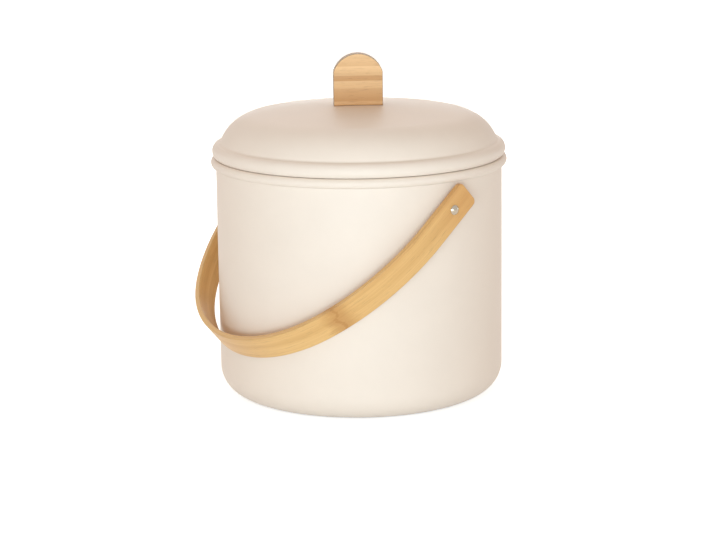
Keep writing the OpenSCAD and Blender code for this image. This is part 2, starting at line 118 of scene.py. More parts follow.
class ShaderSheet:
    """Places nodes in a node tree and joins them."""

    def __init__(self, tree: NodeTree) -> None:
        """Takes the tree to draw in."""
        self.tree = tree

    def feed(self, node: Node, inputs: Inputs) -> Node:
        """Feeds a node.

        Args:
            node: The node.
            inputs: A socket, a number, a vector or a colour for each input, by its name or number.

        Returns:
            The node.
        """
        for name, source in inputs.items():
            socket = node.inputs[name]
            if isinstance(source, NodeSocket):
                self.tree.links.new(source, socket)
            else:
                socket.default_value = (*source, 1.0) if socket.type == "RGBA" else source
        return node

    def node(self, kind: str, inputs: Inputs | None = None, **settings: object) -> Node:
        """Adds one node.

        Args:
            kind: The node's type, without the word ShaderNode.
            inputs: What feeds it.
            settings: The node's own properties.

        Returns:
            The new node.
        """
        made = self.tree.nodes.new(f"ShaderNode{kind}")
        for name, value in settings.items():
            setattr(made, name, value)
        return self.feed(made, inputs or {})

    def group(self, group: NodeGroup, **inputs: object) -> Sockets:
        """Places a node group and gives its outputs."""
        made = self.node("Group", node_tree=group.tree())
        return self.feed(made, inputs).outputs

    def math(self, operation: str, *terms: object, clamp: bool = False) -> NodeSocket:
        """Works a value out of some terms, and can hold it within 0 and 1."""
        inputs = dict(enumerate(terms))
        return self.node("Math", inputs, operation=operation, use_clamp=clamp).outputs[0]

    def swayed(self, value: object, noise: NodeSocket, gain: object, clamp: bool = False) -> NodeSocket:
        """Adds a noise's swing about its middle, times a gain, to a value."""
        swing = self.math("SUBTRACT", noise, 0.5)
        return self.math("MULTIPLY_ADD", swing, gain, value, clamp=clamp)

    def scaled(self, vector: NodeSocket, factor: NodeSocket) -> NodeSocket:
        """Scales a vector or a colour alike in its three parts."""
        return self.node("VectorMath", {0: vector, "Scale": factor}, operation="SCALE").outputs[0]

    def mix(self, factor: object, first: object, second: object, blend: str = "MIX") -> NodeSocket:
        """Mixes a share of a second colour into a first one."""
        inputs = {0: factor, 6: first, 7: second}
        return self.node("Mix", inputs, data_type="RGBA", blend_type=blend).outputs[2]

    def remap(self, value: NodeSocket, span: Span, result: Span = (0.0, 1.0)) -> NodeSocket:
        """Maps a value's span smoothly to a span of results, and holds it at the ends."""
        inputs = {0: value, 1: span[0], 2: span[1], 3: result[0], 4: result[1]}
        return self.node("MapRange", inputs, interpolation_type="SMOOTHSTEP").outputs[0]

    def remap_mm(self, length: NodeSocket, span: Span, result: Span) -> NodeSocket:
        """Maps a length as remap does, with its span in millimetres."""
        return self.remap(length, (span[0] * MM, span[1] * MM), result)

    def noise(self, place: NodeSocket, scale: float, detail: float = 2.0, rough: float = 0.5) -> NodeSocket:
        """Reads noise, with its clouds in a metre, its finer layers and their strength."""
        inputs = {"Vector": place, "Scale": scale, "Detail": detail, "Roughness": rough}
        return self.node("TexNoise", inputs).outputs[0]

    def drawn_out(
        self, place: NodeSocket, scale: Triple, detail: float = 2.0, rough: float = 0.5
    ) -> NodeSocket:
        """Reads noise that has its own scale in each direction."""
        stretched = self.node("VectorMath", {0: place, 1: scale}, operation="MULTIPLY").outputs[0]
        return self.noise(stretched, 1.0, detail, rough)


@dataclass(frozen=True)
class NodeGroup:
    """A shader node group, built the first time that a finish places it."""

    name: str
    inputs: dict[str, str]
    outputs: dict[str, str]
    draw: Callable[[ShaderSheet, Sockets], Inputs]

    def tree(self) -> NodeTree:
        """Gives the group's tree.

        Returns:
            The tree, which is built if it isn't there yet.
        """
        tree = bpy.data.node_groups.get(self.name)
        if tree is None:
            tree = bpy.data.node_groups.new(self.name, "ShaderNodeTree")
            for side, sockets in (("INPUT", self.inputs), ("OUTPUT", self.outputs)):
                for name, kind in sockets.items():
                    tree.interface.new_socket(name, in_out=side, socket_type=f"NodeSocket{kind}")
            sheet, given = ShaderSheet(tree), tree.nodes.new("NodeGroupInput")
            sheet.feed(tree.nodes.new("NodeGroupOutput"), self.draw(sheet, given.outputs))
        return tree


def draw_fine_relief(sheet: ShaderSheet, given: Sockets) -> Inputs:
    """Draws the relief of a sprayed or moulded surface: a fine skin over slow clouds.

    Args:
        sheet: The group's sheet.
        given: The group's inputs.

    Returns:
        What feeds its outputs.
    """
    fine = sheet.scaled(given["Vector"], given["Grain"])
    skin, waves = sheet.noise(fine, 1.0, 3.0, 0.55), sheet.noise(fine, 0.22)
    mottle = sheet.noise(given["Vector"], 26.0, 4.0, 0.6)
    return {"Height": sheet.math("MULTIPLY_ADD", waves, 0.6, skin), "Mottle": mottle}


def draw_bamboo_fibre(sheet: ShaderSheet, given: Sockets) -> Inputs:
    """Draws split bamboo: long fibres, slow streaks and short dark pores along X of its vector.

    Args:
        sheet: The group's sheet.
        given: The group's inputs.

    Returns:
        What feeds its outputs.
    """
    line = given["Vector"]
    fibre = sheet.drawn_out(line, (14.0, 1500.0, 1100.0), 3.0, 0.6)
    streak = sheet.drawn_out(line, (5.0, 260.0, 180.0))
    cloud = sheet.drawn_out(line, (9.0, 60.0, 60.0))
    pore = sheet.drawn_out(line, (110.0, 2600.0, 2600.0), 1.0)
    dash = sheet.remap(pore, (0.63, 0.72))
    tone = sheet.swayed(0.5, streak, given["Streaks"])
    tone = sheet.swayed(sheet.swayed(tone, fibre, 0.9), cloud, 0.8, clamp=True)
    wood = sheet.mix(tone, given["Deep"], given["Pale"])
    pored = sheet.mix(sheet.math("MULTIPLY", dash, given["Pores"]), wood, (0.30, 0.16, 0.06))
    height = sheet.math("MULTIPLY_ADD", dash, -0.7, fibre)
    return {"Color": pored, "Height": height, "Roughness": sheet.remap(fibre, (0.25, 0.75), (0.40, 0.54))}


def draw_turned_metal(sheet: ShaderSheet, given: Sockets) -> Inputs:
    """Draws the hairlines and smears of a pressed and tumbled steel part.

    Args:
        sheet: The group's sheet.
        given: The group's inputs.

    Returns:
        What feeds its outputs.
    """
    smear = sheet.noise(given["Vector"], 420.0, 4.0, 0.65)
    hair = sheet.drawn_out(given["Vector"], (900.0, 5200.0, 900.0))
    return {"Height": hair, "Roughness": sheet.remap(smear, (0.3, 0.75), (0.14, 0.30))}


FINE_RELIEF = NodeGroup(
    "fine_relief",
    {"Vector": "Vector", "Grain": "Float"},
    {"Height": "Float", "Mottle": "Float"},
    draw_fine_relief,
)
BAMBOO_FIBRE = NodeGroup(
    "bamboo_fibre",
    {"Vector": "Vector", "Pale": "Color", "Deep": "Color", "Streaks": "Float", "Pores": "Float"},
    {"Color": "Color", "Height": "Float", "Roughness": "Float"},
    draw_bamboo_fibre,
)
TURNED_METAL = NodeGroup(
    "turned_metal",
    {"Vector": "Vector"},
    {"Height": "Float", "Roughness": "Float"},
    draw_turned_metal,
)


# ---------------------------------------------------------------------------------------------------
# Finishes


def shaded(colour: Colour, factor: float) -> Colour:
    """Scales a colour's three channels alike."""
    return tuple(channel * factor for channel in colour)


class MaterialSheet(ShaderSheet):
    """The sheet of a new material, which has a Principled shader."""

    def __init__(self, name: str) -> None:
        """Makes the material.

        Args:
            name: The material's name.
        """
        self.material = bpy.data.materials.new(name)
        self.material.use_nodes = True
        super().__init__(self.material.node_tree)
        self.shader = self.tree.nodes["Principled BSDF"]

    def object_place(self) -> NodeSocket:
        """Reads a point's place on its object."""
        return self.node("TexCoord").outputs["Object"]

    def bump(self, height: NodeSocket, depth: float, strength: float = 1.0) -> NodeSocket:
        """Turns a height into a normal, with the height's depth in millimetres."""
        inputs = {"Height": height, "Distance": depth * MM, "Strength": strength}
        return self.node("Bump", inputs).outputs[0]


@dataclass(frozen=True)
class Finish:
    """What every finish has: a name, and a way to draw itself on a material's sheet."""

    name: str

    def draw(self, sheet: MaterialSheet) -> None:
        """Draws the finish. Each kind of finish has its own way."""
        raise NotImplementedError

    def material(self) -> Material:
        """Builds the material.

        Returns:
            The material.
        """
        sheet = MaterialSheet(self.name)
        self.draw(sheet)
        return sheet.material


@dataclass(frozen=True)
class CoatedSurface(Finish):
    """A painted, moulded or rubber surface: one colour with a fine skin and slow mottling."""

    colour: Colour
    roughness: float
    grain: float
    relief: float
    mottling: float = 0.03
    specular: float = 0.5
    roughness_swing: float = 0.03

    def draw(self, sheet: MaterialSheet) -> None:
        """Draws the skin, and a colour and a roughness that wander with the mottling.

        Args:
            sheet: The material's sheet.
        """
        skin = sheet.group(FINE_RELIEF, Vector=sheet.object_place(), Grain=self.grain)
        tone = sheet.remap(skin["Mottle"], (0.3, 0.7))
        deep, pale = shaded(self.colour, 1 - self.mottling), shaded(self.colour, 1 + self.mottling)
        rough = (self.roughness - self.roughness_swing, self.roughness + self.roughness_swing)
        sheet.feed(sheet.shader, {
            "Base Color": sheet.mix(tone, deep, pale),
            "Roughness": sheet.remap(skin["Mottle"], (0.25, 0.75), rough),
            "Normal": sheet.bump(skin["Height"], self.relief),
            "Specular IOR Level": self.specular,
        })


@dataclass(frozen=True)
class SteelSurface(Finish):
    """Bare steel with hairlines."""

    colour: Colour
    relief: float

    def draw(self, sheet: MaterialSheet) -> None:
        """Draws the metal.

        Args:
            sheet: The material's sheet.
        """
        metal = sheet.group(TURNED_METAL, Vector=sheet.object_place())
        sheet.feed(sheet.shader, {
            "Base Color": self.colour,
            "Metallic": 1.0,
            "Roughness": metal["Roughness"],
            "Normal": sheet.bump(metal["Height"], self.relief),
        })


@dataclass(frozen=True)
class BambooSurface(Finish):
    """What the strip's and the block's bamboo share: the wood's two colours, its marks and its relief."""

    pale: Colour
    deep: Colour
    streaks: float
    pores: float
    relief: float = field(default=0.03, kw_only=True)
    relief_strength: float = field(default=0.7, kw_only=True)

    def fibres(self, sheet: ShaderSheet, place: NodeSocket, pale: Colour, deep: Colour) -> Sockets:
        """Places the fibres, with their X along a vector's X, between a pale and a deep colour."""
        marks = {"Streaks": self.streaks, "Pores": self.pores}
        return sheet.group(BAMBOO_FIBRE, Vector=place, Pale=pale, Deep=deep, **marks)


@dataclass(frozen=True)
class BambooStripSurface(BambooSurface):
    """Bent bamboo under a thin lacquer, read along the strip by its own line_place attribute.

    Knots and the browned tip are placed from the strip's right-hand end, knot spans from a knot's middle, and
    the line of painted shade and the cut face from the long edges.
    """

    knots: tuple[float, ...]
    half_width: float = STRIP_W / 2
    knot_colour: Colour = (0.50, 0.24, 0.065)
    knot_strength: float = 0.95
    knot_core: Span = (0.4, 3.6)
    knot_cloud: Span = (2.0, 13.0)
    cloud_strength: float = 0.7
    knot_sway: float = 16.0
    tip_colour: Colour = (0.62, 0.305, 0.095)
    tip_strength: float = 0.55
    tip_reach: Span = (6.0, 44.0)
    # The next two fields paint shade: a darker band along both long edges of the strip.
    shade_line: Span = (0.8, 0.2)
    shade_tone: float = 0.84
    cut_face: Span = (0.15, 0.01)
    cut_tone: float = 0.12
    lacquer: float = 0.18
    lacquer_roughness: float = 0.32

    def knot_mask(self, sheet: ShaderSheet, along: NodeSocket, ragged: NodeSocket) -> NodeSocket:
        """Draws the marks that cross the strip where the culm had its nodes.

        Args:
            sheet: The material's sheet.
            along: The place along the strip, in metres.
            ragged: A noise that makes the marks uneven.

        Returns:
            A mask's socket, 1 in the middle of a mark.
        """
        mask: object = 0.0
        for knot in self.knots:
            shift = sheet.math("MULTIPLY_ADD", ragged, self.knot_sway * MM, (-knot - self.knot_sway / 2) * MM)
            away = sheet.math("ABSOLUTE", sheet.math("ADD", along, shift))
            core = sheet.remap_mm(away, self.knot_core, (1.0, 0.0))
            cloud = sheet.remap_mm(away, self.knot_cloud, (self.cloud_strength, 0.0))
            mask = sheet.math("MAXIMUM", mask, sheet.math("MAXIMUM", core, cloud))
        return mask

    def edge_tone(self, sheet: ShaderSheet, across: NodeSocket) -> NodeSocket:
        """Draws a darker line of painted shade along both of the strip's long edges, and the paler cut face
        beside it.

        Args:
            sheet: The material's sheet.
            across: The place across the strip, in metres.

        Returns:
            A factor for the wood's colour.
        """
        away = sheet.math("ABSOLUTE", across)
        line, face = (
            tuple(self.half_width - inset for inset in span) for span in (self.shade_line, self.cut_face)
        )
        # Painted shade: darkens the wood towards both long edges.
        tone_with_shade = sheet.remap_mm(away, line, (1.0, self.shade_tone))
        return sheet.math("ADD", tone_with_shade, sheet.remap_mm(away, face, (0.0, self.cut_tone)))

    def draw(self, sheet: MaterialSheet) -> None:
        """Draws the fibres, the knots, the browned tip and the lacquer.

        Args:
            sheet: The material's sheet.
        """
        place = sheet.node("Attribute", attribute_name="line_place").outputs["Vector"]
        along, across, _ = sheet.node("SeparateXYZ", {0: place}).outputs
        wood = self.fibres(sheet, place, self.pale, self.deep)
        knot = self.knot_mask(sheet, along, sheet.drawn_out(place, (60.0, 210.0, 210.0), 3.0, 0.6))
        tip = sheet.remap_mm(along, self.tip_reach, (self.tip_strength, 0.0))
        browned = sheet.mix(tip, wood["Color"], self.tip_colour)
        marked = sheet.mix(sheet.math("MULTIPLY", knot, self.knot_strength), browned, self.knot_colour)
        height = sheet.math("MULTIPLY_ADD", knot, 0.5, wood["Height"])
        sheet.feed(sheet.shader, {
            "Base Color": sheet.scaled(marked, self.edge_tone(sheet, across)),
            "Roughness": wood["Roughness"],
            "Normal": sheet.bump(height, self.relief, self.relief_strength),
            "Coat Weight": self.lacquer,
            "Coat Roughness": self.lacquer_roughness,
        })


@dataclass(frozen=True)
class Lamina:
    """One strip of the laminated knob: the height of its top, and how dark it is below and above, from its
    toasting and, low on the knob, painted shade.
    """

    top: float
    low: float
    high: float


@dataclass(frozen=True)
class LaminatedSurface(BambooSurface):
    """A block glued up from flat bamboo strips, plain on its faces and burnt on its sawn outline."""

    laminae: tuple[Lamina, ...]
    base: float
    height: float = KNOB_H
    turn: float = KNOB_TURN
    seam: float = 0.012
    sway: float = 0.012
    fibre_pale: Colour = (1.08, 1.08, 1.07)
    fibre_deep: Colour = (0.90, 0.885, 0.85)
    burnt_colour: Colour = (0.20, 0.14, 0.095)
    burnt: float = 0.0

    def bands(self, sheet: ShaderSheet, level: NodeSocket) -> NodeSocket:
        """Draws the laminae one above the other.

        Args:
            sheet: The material's sheet.
            level: The height in the block, from 0 to 1.

        Returns:
            How dark the wood is there: toasting, with painted shade in the lowest laminae.
        """
        ramp = sheet.node("ValToRGB", {0: level})
        stops = ramp.color_ramp.elements
        stops.remove(stops[1])
        bottom = 0.0
        for number, lamina in enumerate(self.laminae):
            first = stops[0] if number == 0 else stops.new(bottom + self.seam / 2)
            first.color = (lamina.low, lamina.low, lamina.low, 1.0)
            bottom = lamina.top / self.height
            stops.new(bottom - self.seam / 2).color = (lamina.high, lamina.high, lamina.high, 1.0)
        return ramp.outputs[0]

    def draw(self, sheet: MaterialSheet) -> None:
        """Draws the laminae with their fibres, in the block's own place and turn.

        Args:
            sheet: The material's sheet.
        """
        local = sheet.node("Mapping", {
            "Vector": sheet.object_place(),
            "Location": (0.0, 0.0, self.base * MM),
            "Rotation": (0.0, 0.0, math.radians(self.turn)),
        }, vector_type="TEXTURE").outputs[0]
        along, through, up = sheet.node("SeparateXYZ", {0: local}).outputs
        level = sheet.math("MULTIPLY", up, 1 / (self.height * MM))
        level = sheet.swayed(level, sheet.drawn_out(local, (30.0, 40.0, 420.0)), self.sway)
        # Band tones: toasting, with painted shade darkening the lowest laminae and a painted contact shadow
        # line at the foot.
        tone_with_shade = sheet.mix(self.bands(sheet, level), self.pale, self.deep)
        grain = sheet.node("CombineXYZ", {0: along, 1: up, 2: through}).outputs[0]
        wood = self.fibres(sheet, grain, self.fibre_pale, self.fibre_deep)
        fibred = sheet.mix(1.0, tone_with_shade, wood["Color"], "MULTIPLY")
        sheet.feed(sheet.shader, {
            "Base Color": sheet.mix(self.burnt, fibred, self.burnt_colour),
            "Roughness": wood["Roughness"],
            "Normal": sheet.bump(wood["Height"], self.relief, self.relief_strength),
        })


@dataclass(frozen=True)
class FeltSurface(Finish):
    """Needled felt soaked with charcoal: matted fibres and black grains."""

    colour: Colour
    roughness: float = 0.95
    sheen: float = 0.3
    relief: float = 0.25

    def draw(self, sheet: MaterialSheet) -> None:
        """Draws the fibres and the grains.

        Args:
            sheet: The material's sheet.
        """
        place = sheet.object_place()
        fibres = sheet.noise(place, 1500.0, 5.0, 0.7)
        grains = sheet.node("TexVoronoi", {"Vector": place, "Scale": 900.0}).outputs["Distance"]
        grey = sheet.remap(fibres, (0.35, 0.75))
        height = sheet.math("MULTIPLY_ADD", grains, 0.6, fibres)
        sheet.feed(sheet.shader, {
            "Base Color": sheet.mix(grey, shaded(self.colour, 0.6), shaded(self.colour, 2.2)),
            "Roughness": self.roughness,
            "Sheen Weight": self.sheen,
            "Normal": sheet.bump(height, self.relief),
        })


# ---------------------------------------------------------------------------------------------------
# Mesh making


class Outline:
    """Half of a round piece's section, drawn as one stroke in radius and height, in millimetres."""

    def __init__(self) -> None:
        """Starts an empty outline."""
        self.points: list[Point] = []

    def line(self, *points: Point) -> Outline:
        """Draws straight lines through some points, and gives the outline back."""
        self.points.extend(points)
        return self

    def arc(self, centre: Point, radius: float, start: float, end: float, steps: int) -> Outline:
        """Draws an arc, after a straight line to its start.

        Args:
            centre: The arc's centre.
            radius: The arc's radius.
            start: The angle where it starts, in degrees from the outward direction.
            end: The angle where it ends.
            steps: How many chords it has.

        Returns:
            This outline.
        """
        for step in range(steps + 1):
            angle = math.radians(start + (end - start) * step / steps)
            self.line((centre[0] + radius * math.cos(angle), centre[1] + radius * math.sin(angle)))
        return self

    def spun(self, steps: int = SPIN_STEPS, closed: bool = False) -> BMesh:
        """Spins the outline about the Z axis.

        Args:
            steps: How many steps a full turn has.
            closed: Whether the outline's last point joins its first.

        Returns:
            The mesh, in millimetres.
        """
        bm = bmesh.new()
        verts = [bm.verts.new((radius, 0.0, height)) for radius, height in self.points]
        ends = verts[1:] + verts[:1] if closed else verts[1:]
        edges = [bm.edges.new(pair) for pair in zip(verts, ends)]
        bmesh.ops.spin(
            bm, geom=verts + edges, cent=(0, 0, 0), axis=(0, 0, 1), angle=2 * math.pi,
            steps=steps, use_merge=True,
        )
        bmesh.ops.remove_doubles(bm, verts=bm.verts, dist=NEAR)
        bmesh.ops.recalc_face_normals(bm, faces=bm.faces)
        return bm


def is_sharp(edge: BMEdge) -> bool:
    """Tells whether two faces meet at an edge in an angle that a real piece has rounded."""
    return edge.calc_face_angle(0.0) > math.radians(50)


def soften(
    bm: BMesh, width: float, segments: int = 2, material: int = -1,
    chosen: Callable[[BMEdge], bool] = is_sharp,
) -> None:
    """Rounds a mesh's edges.

    Args:
        bm: The mesh.
        width: How far the rounding reaches from each edge.
        segments: How many faces the rounding has.
        material: The material that the rounding gets, or -1 for its neighbours'.
        chosen: Tells which edges are rounded.
    """
    bmesh.ops.bevel(
        bm, geom=[edge for edge in bm.edges if chosen(edge)], offset=width, offset_type="OFFSET",
        segments=segments, profile=0.5, affect="EDGES", clamp_overlap=True, material=material,
    )


def placed(bm: BMesh, matrix: Matrix) -> BMesh:
    """Moves a mesh and gives it back."""
    bmesh.ops.transform(bm, matrix=matrix, verts=bm.verts)
    return bm


def in_scene(name: str, data: BMesh | bpy.types.ID) -> Object:
    """Makes an object in the scene.

    Args:
        name: The object's name.
        data: Its lamp or camera, or a bmesh, which becomes its mesh and is freed.

    Returns:
        The object.
    """
    if isinstance(data, BMesh):
        mesh = bpy.data.meshes.new(name)
        data.to_mesh(mesh)
        data.free()
        data = mesh
    made = bpy.data.objects.new(name, data)
    bpy.context.scene.collection.objects.link(made)
    return made


def bored(bm: BMesh, cutter: BMesh) -> BMesh:
    """Cuts one mesh out of another.

    Args:
        bm: The mesh that is cut, which is freed.
        cutter: The mesh that cuts it, which is freed.

    Returns:
        What is left.
    """
    block, tool = in_scene("scratch_block", bm), in_scene("scratch_cutter", cutter)
    cut = block.modifiers.new("bore", "BOOLEAN")
    cut.operation = "DIFFERENCE"
    cut.solver = "EXACT"
    cut.object = tool
    evaluated = block.evaluated_get(bpy.context.evaluated_depsgraph_get())
    result = bmesh.new()
    result.from_mesh(evaluated.to_mesh())
    evaluated.to_mesh_clear()
    for scratch in (block, tool):
        mesh = scratch.data
        bpy.data.objects.remove(scratch)
        bpy.data.meshes.remove(mesh)
    return result


def bore_cutter(bores: Iterable[Matrix], start: float, end: float) -> BMesh:
    """Builds the cutter of the rivets' bores.

    Args:
        bores: What lays the Z axis along each bore.
        start: Where each bore starts on that axis.
        end: Where it ends.

    Returns:
        The cutter.
    """
    bm = bmesh.new()
    middle = Matrix.Translation((0, 0, (start + end) / 2))
    for bore in bores:
        bmesh.ops.create_cone(
            bm, cap_ends=True, segments=BORE_STEPS, radius1=BORE_R, radius2=BORE_R, depth=end - start,
            matrix=bore @ middle,
        )
    return bm


def on_pivot(side: int) -> Matrix:
    """Lays the Z axis along a pivot, outwards: the right-hand one for 1, the left-hand one for -1."""
    return Matrix.Translation((0, 0, PIVOT_Z)) @ Matrix.Rotation(side * math.pi / 2, 4, "Y")


def solid_copy(node: str) -> BMesh:
    """Copies a solid's mesh, merged into whole flat faces.

    Args:
        node: The solid's name.

    Returns:
        The copy, in millimetres.
    """
    same_plane = math.radians(0.4)
    bm = bmesh.new()
    bm.from_mesh(bpy.data.objects[node].data)
    bmesh.ops.scale(bm, vec=(1 / MM, 1 / MM, 1 / MM), verts=bm.verts)
    bmesh.ops.remove_doubles(bm, verts=bm.verts, dist=NEAR)
    bmesh.ops.dissolve_limit(
        bm, angle_limit=same_plane, verts=bm.verts, edges=bm.edges, use_dissolve_boundaries=False
    )
    return bm


@dataclass(frozen=True)
class Piece:
    """One finished piece: its name, the solid that it stands for, what it rides on and its slot."""

    name: str
    solid: str
    body: Body
    slot: Slot

    def publish(self, bm: BMesh, *materials: Material) -> None:
        """Makes the object out of its mesh.

        Args:
            bm: The mesh in millimetres, which is freed.
            materials: Its materials, in the order that its faces name them.
        """
        bmesh.ops.scale(bm, vec=(MM, MM, MM), verts=bm.verts)
        made = in_scene(self.name, bm)
        mesh = made.data
        mesh.shade_smooth()
        mesh.set_sharp_from_angle(angle=math.radians(SMOOTH_ANGLE))
        for material in materials:
            mesh.materials.append(material)
        weighted = made.modifiers.new("weighted", "WEIGHTED_NORMAL")
        weighted.keep_sharp = True
        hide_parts(self.solid)
        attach(made, self.body.value)
        LOG.info("%s: %d faces, rides on %s", self.name, len(mesh.polygons), self.body.value)

    def publish_softened(self, material: Material, width: float, segments: int = 2) -> None:
        """Makes the object out of a copy of its solid.

        Args:
            material: Its material.
            width: How far the rounding of its edges reaches.
            segments: How many faces the rounding has.
        """
        bm = solid_copy(self.solid)
        soften(bm, width, segments)
        self.publish(bm, material)


def dress(node: str, material: Material) -> None:
    """Gives a solid that stays as it is its finish.

    Args:
        node: The solid's name.
        material: The finish.
    """
    solid = bpy.data.objects[node]
    solid.data.materials.clear()
    solid.data.materials.append(material)
    LOG.info("%s: dressed as it is", node)


# ---------------------------------------------------------------------------------------------------
# The pail with its rivets


@dataclass
class Pail:
    """The drawn steel pail with its rolled rim."""

    paint: Material
    wall_r: float = WALL_R
    wall_t: float = 0.8
    height: float = PAIL_H
    foot_r: float = 18.7
    curl_r: float = 3.3
    curl_shift: float = 0.2
    curl_slit: float = 0.4
    bead_inset: float = 17.0
    bead_w: float = 8.0
    bead_h: float = 1.2
    cut_inside: float = 4.0
    cut_outside: float = 1.0
    foot_steps: int = 20
    curl_steps_in: int = 22
    curl_steps_out: int = 26

    def bottom(self, wall_r: float, foot_r: float, floor: float, bead: float) -> Outline:
        """Draws the bottom's line from the axis to the foot of the wall.

        Args:
            wall_r: The wall's radius on this side of the sheet.
            foot_r: The rounded edge's radius on this side of the sheet.
            floor: The flat bottom's height.
            bead: Half of the stiffening bead's width at its foot.

        Returns:
            The outline.
        """
        middle, top = self.wall_r - self.foot_r - self.bead_inset, floor + self.bead_h
        flat = bead - self.bead_h
        drawn = Outline().line((0.0, floor), (middle - bead, floor), (middle - flat, top))
        drawn.line((middle + flat, top), (middle + bead, floor))
        return drawn.arc((wall_r - foot_r, foot_r + floor), foot_r, -90, 0, self.foot_steps)

    def outline(self) -> Outline:
        """Draws the sheet's whole section, outside first.

        Returns:
            The outline.
        """
        inner_r = self.wall_r - self.wall_t
        roll = (self.wall_r + self.curl_shift, self.height - self.curl_r)
        roll_in = self.curl_r - self.wall_t
        start = math.degrees(math.acos(-self.curl_shift / roll_in))
        tip_in = -math.degrees(math.acos((self.curl_slit - self.curl_shift) / roll_in))
        tip_out = -math.degrees(math.acos((self.curl_slit - self.curl_shift) / self.curl_r))
        top = math.degrees(math.acos((inner_r - roll[0]) / self.curl_r))
        drawn = self.bottom(self.wall_r, self.foot_r, 0.0, self.bead_w / 2)
        drawn.arc(roll, roll_in, start, tip_in, self.curl_steps_in)
        drawn.arc(roll, self.curl_r, tip_out, top, self.curl_steps_out)
        inside = self.bottom(inner_r, self.foot_r - self.wall_t, self.wall_t, self.bead_w / 2 + self.wall_t)
        return drawn.line(*reversed(inside.points))

    def build(self) -> None:
        """Builds the pail with its two bores."""
        start, end = self.wall_r - self.cut_inside, self.wall_r + self.cut_outside
        pail = bored(self.outline().spun(), bore_cutter((on_pivot(1), on_pivot(-1)), start, end))
        Piece("pail", "pail_shell", Body.CADDY, Slot.CREAM_PAINT).publish(pail, self.paint)


@dataclass
class Rivets:
    """The two domed rivets with their spacers and backing washers."""

    steel: Material
    zinc: Material
    plastic: Material
    shank_r: float = 2.0
    head_r: float = 3.3
    head_h: float = 1.7
    head_x: float = 108.0
    head_edge: float = 0.1
    tail_r: float = 3.2
    tail_h: float = 1.2
    tail_x: float = 98.4
    rim_h: float = 0.25
    steps: int = 56
    dome_steps: int = 14

    def outline(self) -> Outline:
        """Draws a rivet from its tail to the top of its head.

        Returns:
            The outline.
        """
        rise, tail_end = self.head_h - self.rim_h, self.tail_x - self.tail_h
        dome_r = (self.head_r**2 + rise**2) / (2 * rise)
        centre = (0.0, self.head_x + self.head_h - dome_r)
        edge = math.degrees(math.atan2(dome_r - rise, self.head_r))
        drawn = Outline().line((0.0, tail_end), (self.tail_r - self.tail_h / 2, tail_end))
        drawn.line((self.tail_r, self.tail_x), (self.shank_r, self.tail_x), (self.shank_r, self.head_x))
        drawn.line((self.head_r - self.head_edge, self.head_x), (self.head_r, self.head_x + self.head_edge))
        return drawn.arc(centre, dome_r, edge, 90, self.dome_steps)

    def build(self) -> None:
        """Builds the rivets and dresses what lies under them."""
        for side, word in ((1, "right"), (-1, "left")):
            rivet = placed(self.outline().spun(self.steps), on_pivot(side))
            piece = Piece(f"rivet_{word}_domed", f"rivet_{word}", Body.CADDY, Slot.RIVET_STEEL)
            piece.publish(rivet, self.steel)
            dress(f"spacer_{word}", self.plastic)
            dress(f"rivet_washer_{word}", self.zinc)


# ---------------------------------------------------------------------------------------------------
# The bail handle


